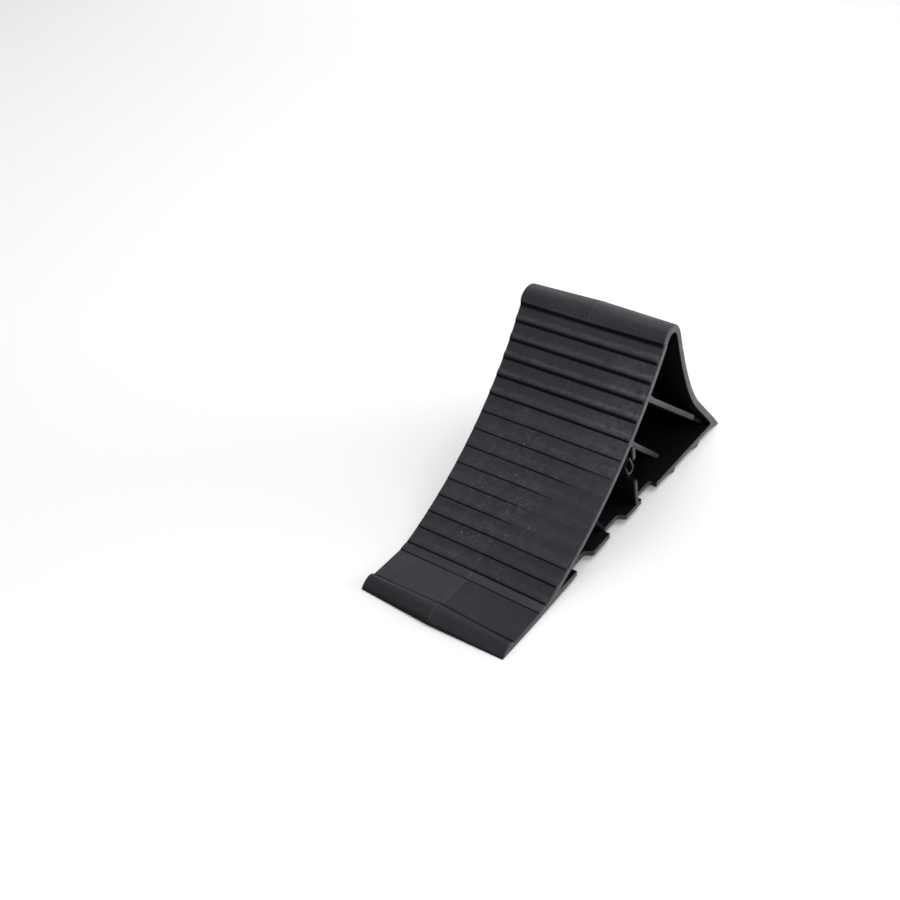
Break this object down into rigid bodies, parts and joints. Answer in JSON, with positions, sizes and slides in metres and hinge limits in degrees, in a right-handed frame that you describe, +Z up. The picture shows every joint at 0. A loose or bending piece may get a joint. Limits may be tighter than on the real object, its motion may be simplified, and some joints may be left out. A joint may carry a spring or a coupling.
{
  "type": "wheel chock",
  "caption": "Hollow ribbed plastic wedge with a beaded tread curved to a tyre, a rounded crest and a toothed base, pushed under a wheel to stop it rolling.",
  "frame": {"origin": "middle of the footprint, on the ground plane", "axes": "+Z up, +Y along the length towards the heel, so the tyre comes from -Y, +X across the width"},
  "size_m": [0.12, 0.336, 0.1483],
  "materials": {
    "black_plastic": "satin"
  },
  "bodies": {
    "root": {"toe_lip": "black_plastic", "toe_root": "black_plastic", "tread_lower": "black_plastic", "tread_upper": "black_plastic", "crest_cap": "black_plastic", "back_wall_upper": "black_plastic", "back_wall_lower": "black_plastic", "heel_ramp": "black_plastic", "heel_edge": "black_plastic", "base_front": "black_plastic", "base_middle": "black_plastic", "base_rear": "black_plastic", "tooth_front": "black_plastic", "tooth_rear": "black_plastic", "center_web": "black_plastic", "upper_rib_right": "black_plastic", "middle_rib_right": "black_plastic", "toe_rib_right": "black_plastic", "strut_right": "black_plastic", "bar_socket_right": "black_plastic", "lug_front_right": "black_plastic", "lug_rear_right": "black_plastic", "upper_rib_left": "black_plastic", "middle_rib_left": "black_plastic", "toe_rib_left": "black_plastic", "strut_left": "black_plastic", "bar_socket_left": "black_plastic", "lug_front_left": "black_plastic", "lug_rear_left": "black_plastic"}
  },
  "joints": []
}
